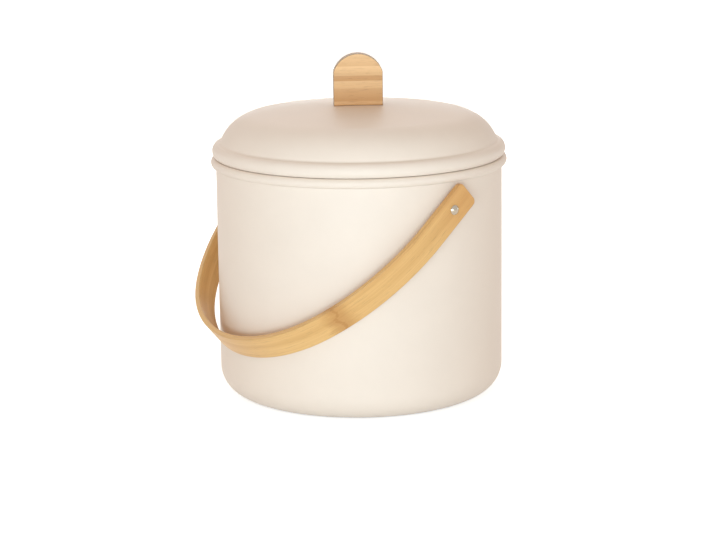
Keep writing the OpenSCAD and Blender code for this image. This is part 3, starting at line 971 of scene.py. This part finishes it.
@dataclass
class BailStrip:
    """The bent bamboo strip. Its own plane has X to the right and Y from the crown up to the pivots."""

    bamboo: Material
    width: float = STRIP_W
    thick: float = 3.6
    end: float = 16.5
    corner_r: float = 3.5
    straight: float = 22.0
    leg_x: float = 104.2
    reach: float = 142.6
    crown_ease: float = 9.2
    wall_r: float = WALL_R
    rest_gap: float = 0.3
    edge_r: float = 0.55
    side_steps: int = 26
    crown_steps: int = 72
    crown_r: float = field(init=False)
    crown_y: float = field(init=False)
    side_r: float = field(init=False)
    side_turn: float = field(init=False)
    lean: float = field(init=False)

    def __post_init__(self) -> None:
        """Works out the bends that follow from the driving sizes."""
        self.crown_r = self.leg_x - self.crown_ease
        self.crown_y = self.crown_r - self.reach
        drop = -self.crown_y - self.straight
        self.side_r = (self.leg_x**2 + drop**2 - self.crown_r**2) / (2 * self.crown_ease)
        self.side_turn = math.atan2(drop, self.side_r - self.leg_x)
        half = self.width / 2
        touch = math.asin((self.wall_r + self.rest_gap) / math.hypot(self.reach, half))
        self.lean = math.atan2(half, self.reach) + touch

    @property
    def half_length(self) -> float:
        """The length of the strip's inner face, from an end to the middle of the crown."""
        crown = self.crown_r * (math.pi / 2 - self.side_turn)
        return self.end + self.straight + self.side_r * self.side_turn + crown

    def line_place(self, point: Vector) -> Vector:
        """Finds a point's place on the straightened strip.

        Args:
            point: The point, in the strip's own plane.

        Returns:
            Its place along the strip, across it and through it, in metres.
        """
        x, y = abs(point.x), point.y
        turn = math.atan2(self.crown_y - y, x)
        if y >= -self.straight:
            along, depth = self.end - y, x - self.leg_x
        elif turn < self.side_turn:
            from_centre = Vector((x - self.leg_x + self.side_r, y + self.straight))
            angle = math.atan2(-from_centre.y, from_centre.x)
            along = self.end + self.straight + self.side_r * angle
            depth = from_centre.length - self.side_r
        else:
            along = self.half_length - self.crown_r * (math.pi / 2 - turn)
            depth = math.hypot(x, y - self.crown_y) - self.crown_r
        if point.x < 0:
            along = 2 * self.half_length - along
        return Vector((along, point.z, depth)) * MM

    def swept(self) -> BMesh:
        """Draws the strip's square section along its line: a leg, a side, the crown, a side and a leg.

        Returns:
            The strip with square edges, in its own plane.
        """
        bm = bmesh.new()
        half, outer = self.width / 2, self.leg_x + self.thick
        corners = ((self.leg_x, -half), (outer, -half), (outer, half), (self.leg_x, half))
        verts = [bm.verts.new((x, self.end, z)) for x, z in corners]
        first = [bm.edges.new(pair) for pair in zip(verts, verts[1:] + verts[:1])]
        side_x, crown_turn = self.side_r - self.leg_x, math.pi - 2 * self.side_turn
        last = self.leg(bm, first, -1)
        last = self.bend(bm, last, (-side_x, -self.straight), self.side_turn, self.side_steps)
        last = self.bend(bm, last, (0.0, self.crown_y), crown_turn, self.crown_steps)
        last = self.bend(bm, last, (side_x, -self.straight), self.side_turn, self.side_steps)
        last = self.leg(bm, last, 1)
        for loop in (first, last):
            bmesh.ops.contextual_create(bm, geom=loop)
        bmesh.ops.recalc_face_normals(bm, faces=bm.faces)
        return bm

    def leg(self, bm: BMesh, edges: list[BMEdge], way: int) -> list[BMEdge]:
        """Draws the section along a straight leg.

        Args:
            bm: The mesh.
            edges: The section's edges.
            way: 1 to draw upwards and -1 to draw downwards.

        Returns:
            The section's edges at the leg's other end.
        """
        made = bmesh.ops.extrude_edge_only(bm, edges=edges)["geom"]
        moved = [item for item in made if isinstance(item, BMVert)]
        bmesh.ops.translate(bm, verts=moved, vec=(0, way * (self.end + self.straight), 0))
        return [item for item in made if isinstance(item, BMEdge) and set(item.verts) <= set(moved)]

    def bend(self, bm: BMesh, edges: list[BMEdge], centre: Point, angle: float, steps: int) -> list[BMEdge]:
        """Draws the section round a bend.

        Args:
            bm: The mesh.
            edges: The section's edges.
            centre: The bend's centre.
            angle: How far it turns, clockwise.
            steps: How many steps it has.

        Returns:
            The section's edges at the bend's end.
        """
        verts = list({vert for edge in edges for vert in edge.verts})
        made = bmesh.ops.spin(
            bm, geom=verts + edges, cent=(*centre, 0), axis=(0, 0, 1), angle=-angle,
            steps=steps, use_merge=False,
        )["geom_last"]
        return [item for item in made if isinstance(item, BMEdge)]

    def is_corner(self, edge: BMEdge) -> bool:
        """Tells whether an edge runs through the strip's thickness at one of its ends."""
        first, second = (vert.co for vert in edge.verts)
        return max(abs(first.y - self.end), abs(second.y - self.end), abs(first.z - second.z)) < NEAR

    def place_attribute(self, bm: BMesh) -> None:
        """Writes each vertex's place on the straightened strip into the mesh.

        Args:
            bm: The strip, in its own plane.
        """
        layer = bm.verts.layers.float_vector.new("line_place")
        for vert in bm.verts:
            vert[layer] = self.line_place(vert.co)

    def build(self) -> None:
        """Builds the strip, with rounded ends and edges and a bore through both legs."""
        bm = self.swept()
        soften(bm, self.corner_r, 8, chosen=self.is_corner)
        soften(bm, self.edge_r, 3)
        reach = self.leg_x + 2 * self.thick
        bm = bored(bm, bore_cutter([Matrix.Rotation(math.pi / 2, 4, "Y")], -reach, reach))
        self.place_attribute(bm)
        leaned = Matrix.Translation((0, 0, PIVOT_Z)) @ Matrix.Rotation(math.pi / 2 - self.lean, 4, "X")
        piece = Piece("bail_strip", "handle_strip", Body.HANDLE, Slot.BAMBOO_STRIP)
        piece.publish(placed(bm, leaned), self.bamboo)


# ---------------------------------------------------------------------------------------------------
# The lid with its knob


def meeting(first: Point, first_r: float, second: Point, second_r: float) -> Point:
    """Finds the upper one of the two points where a circle meets another that stands to its right.

    Args:
        first: The first circle's centre.
        first_r: The first circle's radius.
        second: The second circle's centre.
        second_r: The second circle's radius.

    Returns:
        The point.
    """
    start, end = Vector(first), Vector(second)
    apart = (end - start).length
    way = (end - start) / apart
    along = (first_r**2 - second_r**2 + apart**2) / (2 * apart)
    aside = math.sqrt(first_r**2 - along**2)
    met = start + way * along + Vector((-way.y, way.x)) * aside
    return met.x, met.y


def bearing(centre: Point, point: Point) -> float:
    """Gives the direction from a centre to a point, in degrees from the outward direction."""
    return math.degrees(math.atan2(point[1] - centre[1], point[0] - centre[0]))


@dataclass
class Lid:
    """The domed lid with its rolled edge."""

    paint: Material
    wall_r: float = WALL_R
    pail_h: float = PAIL_H
    rise: float = 34.8
    sheet_t: float = 0.8
    cap_r: float = 530.0
    shoulder_r: float = 30.0
    shoulder_inset: float = 1.5
    roll_r: float = 5.5
    roll_over: float = 2.5
    roll_under: float = 51.0
    neck_r: float = 2.0
    seat_gap: float = 0.3
    cap_steps: int = 24
    shoulder_steps: int = 26
    neck_steps: int = 8
    roll_steps: int = 24
    apex_z: float = field(init=False)
    cap_z: float = field(init=False)
    cap_end: float = field(init=False)
    shoulder: Point = field(init=False)
    roll: Point = field(init=False)

    def __post_init__(self) -> None:
        """Works out the section's centres, and the angle where the crowned cap ends."""
        self.apex_z = self.pail_h + self.rise
        self.cap_z = self.apex_z - self.cap_r
        out, span = self.wall_r - self.shoulder_inset - self.shoulder_r, self.cap_r - self.shoulder_r
        tilt = math.degrees(math.asin(out / span))
        self.cap_end = 90 - tilt
        self.shoulder = (out, self.cap_z + span * math.cos(math.radians(tilt)))
        under = self.roll_r * math.sin(math.radians(self.roll_under))
        self.roll = (self.wall_r + self.roll_over - self.roll_r, self.pail_h + self.seat_gap + under)

    def crown_z(self, radius: float) -> float:
        """Gives the crowned top's height at a distance from the axis."""
        return self.cap_z + math.sqrt(self.cap_r**2 - radius**2)

    def outline(self) -> Outline:
        """Draws the sheet's whole section, outside first.

        Returns:
            The outline.
        """
        cap, shoulder, roll = (0.0, self.cap_z), self.shoulder, self.roll
        cap_in, shoulder_in, roll_in = (r - self.sheet_t for r in (self.cap_r, self.shoulder_r, self.roll_r))
        neck = meeting(shoulder, self.shoulder_r + self.neck_r, roll, self.roll_r + self.neck_r)
        lap = meeting(shoulder, shoulder_in, roll, roll_in)
        drawn = Outline().line((0.0, self.apex_z)).arc(cap, self.cap_r, 90, self.cap_end, self.cap_steps)
        drawn.arc(shoulder, self.shoulder_r, self.cap_end, bearing(shoulder, neck), self.shoulder_steps)
        from_shoulder, to_roll = bearing(neck, shoulder) + 360, bearing(neck, roll) + 360
        drawn.arc(neck, self.neck_r, from_shoulder, to_roll, self.neck_steps)
        drawn.arc(roll, self.roll_r, bearing(roll, neck), -self.roll_under, self.roll_steps)
        drawn.arc(roll, roll_in, -self.roll_under, bearing(roll, lap), self.roll_steps)
        drawn.arc(shoulder, shoulder_in, bearing(shoulder, lap), self.cap_end, self.shoulder_steps)
        drawn.arc(cap, cap_in, self.cap_end, 90, self.cap_steps)
        return drawn.line((0.0, self.apex_z - self.sheet_t))

    def build(self) -> None:
        """Builds the lid."""
        Piece("lid", "lid_shell", Body.LID, Slot.CREAM_PAINT).publish(self.outline().spun(), self.paint)


@dataclass
class Knob:
    """The bamboo tab on the lid, glued up from flat strips."""

    face: Material
    rim: Material
    lid: Lid
    width: float = 34.2
    thick: float = 9.0
    height: float = KNOB_H
    arch_r: float = 18.0
    turn: float = KNOB_TURN
    edge_r: float = 0.35
    arch_steps: int = 40
    base_steps: int = 8

    def outline(self) -> Outline:
        """Draws the knob's face, from its right top corner round the arch and back along the lid.

        Returns:
            The outline, as places across the face and heights above the lid's top.
        """
        half = self.width / 2
        side = math.degrees(math.acos(half / self.arch_r))
        centre = (0.0, self.height - self.arch_r)
        drawn = Outline().arc(centre, self.arch_r, side, 180 - side, self.arch_steps)
        for step in range(self.base_steps + 1):
            across = -half + self.width * step / self.base_steps
            drawn.line((across, self.lid.crown_z(math.hypot(across, self.thick / 2)) - self.lid.apex_z))
        return drawn

    def build(self) -> None:
        """Builds the knob, with its faces in one finish and its rim in the other."""
        bm = bmesh.new()
        front = bm.faces.new([bm.verts.new((x, -self.thick / 2, z)) for x, z in self.outline().points])
        made = bmesh.ops.extrude_face_region(bm, geom=[front])["geom"]
        moved = [item for item in made if isinstance(item, BMVert)]
        bmesh.ops.translate(bm, verts=moved, vec=(0, self.thick, 0))
        bmesh.ops.recalc_face_normals(bm, faces=bm.faces)
        for face in bm.faces:
            is_rim = abs(face.normal.y) < 0.5
            face.material_index = int(is_rim)
        soften(bm, self.edge_r, 3, material=1)
        place = Matrix.Translation((0, 0, self.lid.apex_z)) @ Matrix.Rotation(math.radians(self.turn), 4, "Z")
        piece = Piece("knob_tab", "knob", Body.LID, Slot.BAMBOO_BLOCK)
        piece.publish(placed(bm, place), self.face, self.rim)


@dataclass
class PlugRing:
    """The plug ring under the lid and the silicone ring round it."""

    plastic: Material
    silicone: Material
    in_r: float = 96.0
    out_r: float = 97.6
    low_z: float = 158.4
    top_z: float = 176.2
    flange_r: float = 99.86
    flange_z: float = 168.0
    flange_t: float = 1.6
    seat_r: float = 97.2
    seal_r: float = 98.9
    seal_z: float = 160.4
    seal_h: float = 5.0
    fin_t: float = 1.0

    def ring_outline(self) -> Outline:
        """Draws the plug ring's section, with the seal's seat and the flange that stops at the lid's roll.

        Returns:
            The outline.
        """
        seal_top, flange_top = self.seal_z + self.seal_h, self.flange_z + self.flange_t
        drawn = Outline().line((self.in_r, self.low_z), (self.out_r, self.low_z), (self.out_r, self.seal_z))
        drawn.line((self.seat_r, self.seal_z), (self.seat_r, seal_top), (self.out_r, seal_top))
        drawn.line((self.out_r, self.flange_z), (self.flange_r, self.flange_z), (self.flange_r, flange_top))
        return drawn.line((self.out_r, flange_top), (self.out_r, self.top_z), (self.in_r, self.top_z))

    def seal_outline(self) -> Outline:
        """Draws the seal's section, a band with a fin at each edge.

        Returns:
            The outline.
        """
        top, web = self.seal_z + self.seal_h, (self.seat_r + self.seal_r) / 2
        low_fin, top_fin = self.seal_z + self.fin_t, top - self.fin_t
        drawn = Outline().line((self.seat_r, self.seal_z), (self.seal_r, self.seal_z), (self.seal_r, low_fin))
        drawn.line((web, low_fin), (web, top_fin), (self.seal_r, top_fin))
        return drawn.line((self.seal_r, top), (self.seat_r, top))

    def build(self) -> None:
        """Builds both rings, each with softened edges."""
        ring, seal = self.ring_outline().spun(closed=True), self.seal_outline().spun(closed=True)
        soften(ring, 0.2)
        soften(seal, 0.25, 3)
        Piece("plug_ring", "lid_collar", Body.LID, Slot.RING_PLASTIC).publish(ring, self.plastic)
        Piece("seal_fins", "seal_ring", Body.LID, Slot.SEAL_SILICONE).publish(seal, self.silicone)


@dataclass
class FilterUnit:
    """The filter holder under the lid, the charcoal filter and its bayonet cover."""

    plastic: Material
    felt: Material
    zinc: Material
    edge_r: float = 0.25
    pad_edge_r: float = 1.2

    def build(self) -> None:
        """Builds the unit and dresses the knob's screws."""
        holder = Piece("holder_dish", "filter_holder", Body.LID, Slot.FILTER_PLASTIC)
        holder.publish_softened(self.plastic, self.edge_r)
        cover = Piece("cover_grille", "filter_cover", Body.COVER, Slot.FILTER_PLASTIC)
        cover.publish_softened(self.plastic, self.edge_r)
        pad = Piece("felt_pad", "charcoal_filter", Body.COVER, Slot.CHARCOAL_FELT)
        pad.publish_softened(self.felt, self.pad_edge_r, 3)
        for word in ("a", "b"):
            dress(f"knob_screw_{word}", self.zinc)
            dress(f"screw_washer_{word}", self.zinc)


@dataclass
class InnerBucket:
    """The removable bucket with its two finger grips."""

    plastic: Material
    low_z: float = 2.3
    top_z: float = 157.0
    top_r: float = 95.0
    thick: float = 1.6
    floor_t: float = 2.0
    corner_r: float = 20.0
    draft: float = 1.5
    lip_r: float = 98.2
    lip_h: float = 6.0
    edge_r: float = 0.35
    corner_steps: int = 18

    def side_line(self, inset: float, low: float) -> Outline:
        """Draws one face of the bucket's wall, from the axis up to the top.

        Args:
            inset: How far the face lies inside the outer one.
            low: The bottom's height on this face.

        Returns:
            The outline.
        """
        corner, slope = self.corner_r - inset, math.radians(self.draft)
        centre_z = low + corner
        centre_r = self.top_r - inset - (self.top_z - centre_z) * math.tan(slope) - corner / math.cos(slope)
        drawn = Outline().line((0.0, low))
        return drawn.arc((centre_r, centre_z), corner, -90, -self.draft, self.corner_steps)

    def outline(self) -> Outline:
        """Draws the bucket's whole section with its turned-down lip, outside first.

        Returns:
            The outline.
        """
        under, lip_low, lip_in = self.top_z - self.thick, self.top_z - self.lip_h, self.lip_r - self.thick
        drawn = self.side_line(0.0, self.low_z)
        drawn.line((self.top_r - self.thick * math.tan(math.radians(self.draft)), under), (lip_in, under))
        drawn.line((lip_in, lip_low), (self.lip_r, lip_low), (self.lip_r, self.top_z))
        drawn.line((self.top_r - self.thick, self.top_z))
        return drawn.line(*reversed(self.side_line(self.thick, self.low_z + self.floor_t).points))

    def build(self) -> None:
        """Builds the bucket and the grips."""
        bucket = self.outline().spun()
        soften(bucket, self.edge_r)
        Piece("bucket", "liner_bucket", Body.LINER, Slot.BUCKET_PLASTIC).publish(bucket, self.plastic)
        for word in ("front", "back"):
            grip = Piece(f"grip_{word}", f"liner_grip_{word}", Body.LINER, Slot.BUCKET_PLASTIC)
            grip.publish_softened(self.plastic, self.edge_r)


# ---------------------------------------------------------------------------------------------------
# Camera and studio


def outward(azimuth: float, elevation: float) -> Vector:
    """Gives the direction from the caddy towards a bearing from the front and a height, in degrees."""
    turn, rise = math.radians(azimuth), math.radians(elevation)
    return Vector((math.sin(turn) * math.cos(rise), -math.cos(turn) * math.cos(rise), math.sin(rise)))


@dataclass(frozen=True)
class Viewpoint:
    """The camera, as fitted to the photograph. Angles are in degrees."""

    azimuth: float = 54.2
    elevation: float = 12.495
    distance: float = 1588.0
    roll: float = 0.739
    aim_right: float = -1.573
    aim_height: float = 84.25
    focal_px: float = 2242.2
    picture_w: float = 716.0
    sensor_w: float = 36.0
    clip_end: float = 50.0

    def build(self) -> None:
        """Builds the camera and makes it the scene's."""
        turn, roll = math.radians(self.azimuth), math.radians(self.roll)
        back = outward(self.azimuth, self.elevation)
        right = Vector((math.cos(turn), math.sin(turn), 0.0))
        up = back.cross(right)
        rolled_right = math.cos(roll) * right - math.sin(roll) * up
        rolled_up = math.sin(roll) * right + math.cos(roll) * up
        turned = Matrix((rolled_right, rolled_up, back)).transposed().to_4x4()
        place = right * self.aim_right + Vector((0, 0, self.aim_height)) + back * self.distance
        camera = in_scene("camera", bpy.data.cameras.new("camera"))
        camera.data.sensor_width = self.sensor_w
        camera.data.lens = self.sensor_w * self.focal_px / self.picture_w
        camera.data.clip_end = self.clip_end
        camera.matrix_world = Matrix.Translation(place * MM) @ turned
        bpy.context.scene.camera = camera


@dataclass(frozen=True)
class LampRow:
    """Area lamps of one kind round the caddy, each with its bearing from the camera's and its power."""

    name: str
    elevation: float
    distance: float
    width: float
    height: float
    colour: Colour
    aim_height: float
    lamps: tuple[tuple[int, float], ...]

    def build(self) -> None:
        """Builds the lamps, which the camera doesn't see."""
        for turn, watts in self.lamps:
            light = bpy.data.lights.new(f"{self.name}_{turn:+d}", "AREA")
            light.shape = "RECTANGLE"
            light.size, light.size_y = self.width * MM, self.height * MM
            light.energy, light.color = watts, self.colour
            back = outward(Viewpoint.azimuth + turn, self.elevation)
            place = Vector((0, 0, self.aim_height)) + back * self.distance
            lamp = in_scene(light.name, light)
            turned = back.to_track_quat("Z", "Y").to_matrix().to_4x4()
            lamp.matrix_world = Matrix.Translation(place * MM) @ turned
            lamp.visible_camera = False


def seen_directly(sheet: ShaderSheet) -> NodeSocket:
    """Finds the rays that see the background itself, also in metal or through glass.

    Args:
        sheet: The material's or the world's sheet.

    Returns:
        A socket that is 1 for such rays.
    """
    path = sheet.node("LightPath").outputs
    seen = sheet.math("MAXIMUM", path["Is Camera Ray"], path["Is Glossy Ray"])
    return sheet.math("MAXIMUM", seen, path["Is Transmission Ray"])


@dataclass(frozen=True)
class Studio:
    """A white floor and background with soft light."""

    ambient: Colour = (1.0, 0.84, 0.712)
    ambient_level: float = 0.616
    floor_side: float = 12000.0
    floor_grey: Colour = (0.86, 0.86, 0.86)
    floor_rough: float = 0.9
    floor_specular: float = 0.1
    floor_glow: float = 0.62
    rows: tuple[LampRow, ...] = (
        LampRow(
            "bank", elevation=6.0, distance=1100.0, width=520.0, height=170.0, colour=(0.74, 0.915, 1.0),
            aim_height=60.0, lamps=((-8, 4.27), (10, 1.97), (-120, 0.6), (180, 1.2), (120, 0.6)),
        ),
        LampRow(
            "rim", elevation=35.0, distance=1500.0, width=1000.0, height=700.0, colour=WHITE,
            aim_height=100.0, lamps=((-130, 1.2), (180, 3.17)),
        ),
    )

    def sky(self) -> None:
        """Builds the world: white where it is seen and the ambient light elsewhere."""
        world = bpy.data.worlds.new("studio")
        world.use_nodes = True
        bpy.context.scene.world = world
        sheet = ShaderSheet(world.node_tree)
        world.node_tree.nodes.clear()
        ambient = sheet.node("Background", {"Color": self.ambient, "Strength": self.ambient_level}).outputs[0]
        white = sheet.node("Background", {"Color": WHITE, "Strength": 1.0}).outputs[0]
        both = sheet.node("MixShader", {0: seen_directly(sheet), 1: ambient, 2: white}).outputs[0]
        sheet.node("OutputWorld", {"Surface": both})

    def floor(self) -> None:
        """Builds the floor, which shows white and keeps a faint shadow."""
        sheet = MaterialSheet("floor_white")
        sheet.feed(sheet.shader, {
            "Base Color": self.floor_grey,
            "Roughness": self.floor_rough,
            "Specular IOR Level": self.floor_specular,
        })
        plain = sheet.shader.outputs[0]
        glow = sheet.node("Emission", {"Color": WHITE, "Strength": self.floor_glow}).outputs[0]
        lit = sheet.node("AddShader", {0: plain, 1: glow}).outputs[0]
        seen = sheet.node("MixShader", {0: seen_directly(sheet), 1: plain, 2: lit}).outputs[0]
        sheet.feed(sheet.tree.nodes["Material Output"], {"Surface": seen})
        bm = bmesh.new()
        bmesh.ops.create_grid(bm, x_segments=1, y_segments=1, size=self.floor_side / 2 * MM)
        floor = in_scene("floor", bm)
        floor.data.materials.append(sheet.material)

    def build(self) -> None:
        """Builds the world, the floor and the lamps."""
        self.sky()
        self.floor()
        for row in self.rows:
            row.build()
        bpy.context.scene.view_settings.view_transform = "Standard"


# ---------------------------------------------------------------------------------------------------
# The caddy's own finishes


POWDER_COAT = CoatedSurface(
    "cream_powder_coat", (0.863, 0.771, 0.688), roughness=0.45, grain=900.0, relief=0.012,
    mottling=0.012, specular=0.2,
)
SPACER_NYLON = CoatedSurface("cream_nylon", (0.74, 0.64, 0.53), roughness=0.5, grain=1200.0, relief=0.01)
RING_PLASTIC = CoatedSurface("ring_plastic", (0.68, 0.61, 0.52), roughness=0.48, grain=1400.0, relief=0.012)
SEAL_SILICONE = CoatedSurface(
    "seal_silicone", (0.57, 0.52, 0.45), roughness=0.62, grain=700.0, relief=0.01,
    mottling=0.04, specular=0.4,
)
FILTER_PLASTIC = CoatedSurface(
    "filter_plastic", (0.094, 0.09, 0.085), roughness=0.46, grain=1100.0, relief=0.03, mottling=0.05
)
BUCKET_PLASTIC = CoatedSurface(
    "bucket_plastic", (0.50, 0.455, 0.395), roughness=0.40, grain=1300.0, relief=0.012, mottling=0.02
)
# The rivets' colour is darker and browner than bare steel: a painted reflection of the bamboo strip beside
# them.
RIVET_STEEL = SteelSurface("rivet_steel", (0.47, 0.41, 0.325), relief=0.002)
ZINC_STEEL = SteelSurface("zinc_steel", (0.62, 0.63, 0.64), relief=0.004)
CHARCOAL_FELT = FeltSurface("charcoal_felt", (0.018, 0.018, 0.02))
BENT_BAMBOO = BambooStripSurface(
    "bamboo_strip", pale=(0.82, 0.53, 0.215), deep=(0.60, 0.315, 0.095), streaks=1.5, pores=0.35,
    knots=(122.0, 358.0),
)
# The knob's laminae. The lowest ones, below about 12 mm, are darkened partly by painted shade, and the bottom
# half millimetre is a painted contact shadow line.
KNOB_LAMINAE = (
    # Painted contact shadow along the knob's foot.
    Lamina(0.5, 1.0, 1.0),
    Lamina(2.9, 0.62, 0.66),
    Lamina(5.5, 0.92, 0.84),
    Lamina(12.0, 0.80, 0.58),
    Lamina(17.1, 0.40, 0.22),
    Lamina(20.8, 0.80, 0.74),
    Lamina(22.8, 0.34, 0.30),
    Lamina(27.3, 0.22, 0.0),
    Lamina(KNOB_H, 0.38, 0.04),
)


# ---------------------------------------------------------------------------------------------------
# Putting it together


def main() -> None:
    """Builds the caddy, piece by piece, with its camera and studio."""
    logging.basicConfig(level=logging.INFO, format="%(name)s %(message)s")
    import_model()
    Viewpoint().build()

    paint, zinc = POWDER_COAT.material(), ZINC_STEEL.material()
    Pail(paint).build()
    Rivets(RIVET_STEEL.material(), zinc, SPACER_NYLON.material()).build()
    BailStrip(BENT_BAMBOO.material()).build()
    lid = Lid(paint)
    lid.build()
    face = LaminatedSurface(
        "bamboo_block", pale=(0.845, 0.545, 0.268), deep=(0.51, 0.232, 0.052), streaks=1.0, pores=0.30,
        laminae=KNOB_LAMINAE, base=lid.apex_z,
    )
    rim = replace(face, name="bamboo_block_rim", burnt=0.72)
    Knob(face.material(), rim.material(), lid).build()
    PlugRing(RING_PLASTIC.material(), SEAL_SILICONE.material()).build()
    FilterUnit(FILTER_PLASTIC.material(), CHARCOAL_FELT.material(), zinc).build()
    InnerBucket(BUCKET_PLASTIC.material()).build()
    Studio().build()


if __name__ == "__main__":
    main()
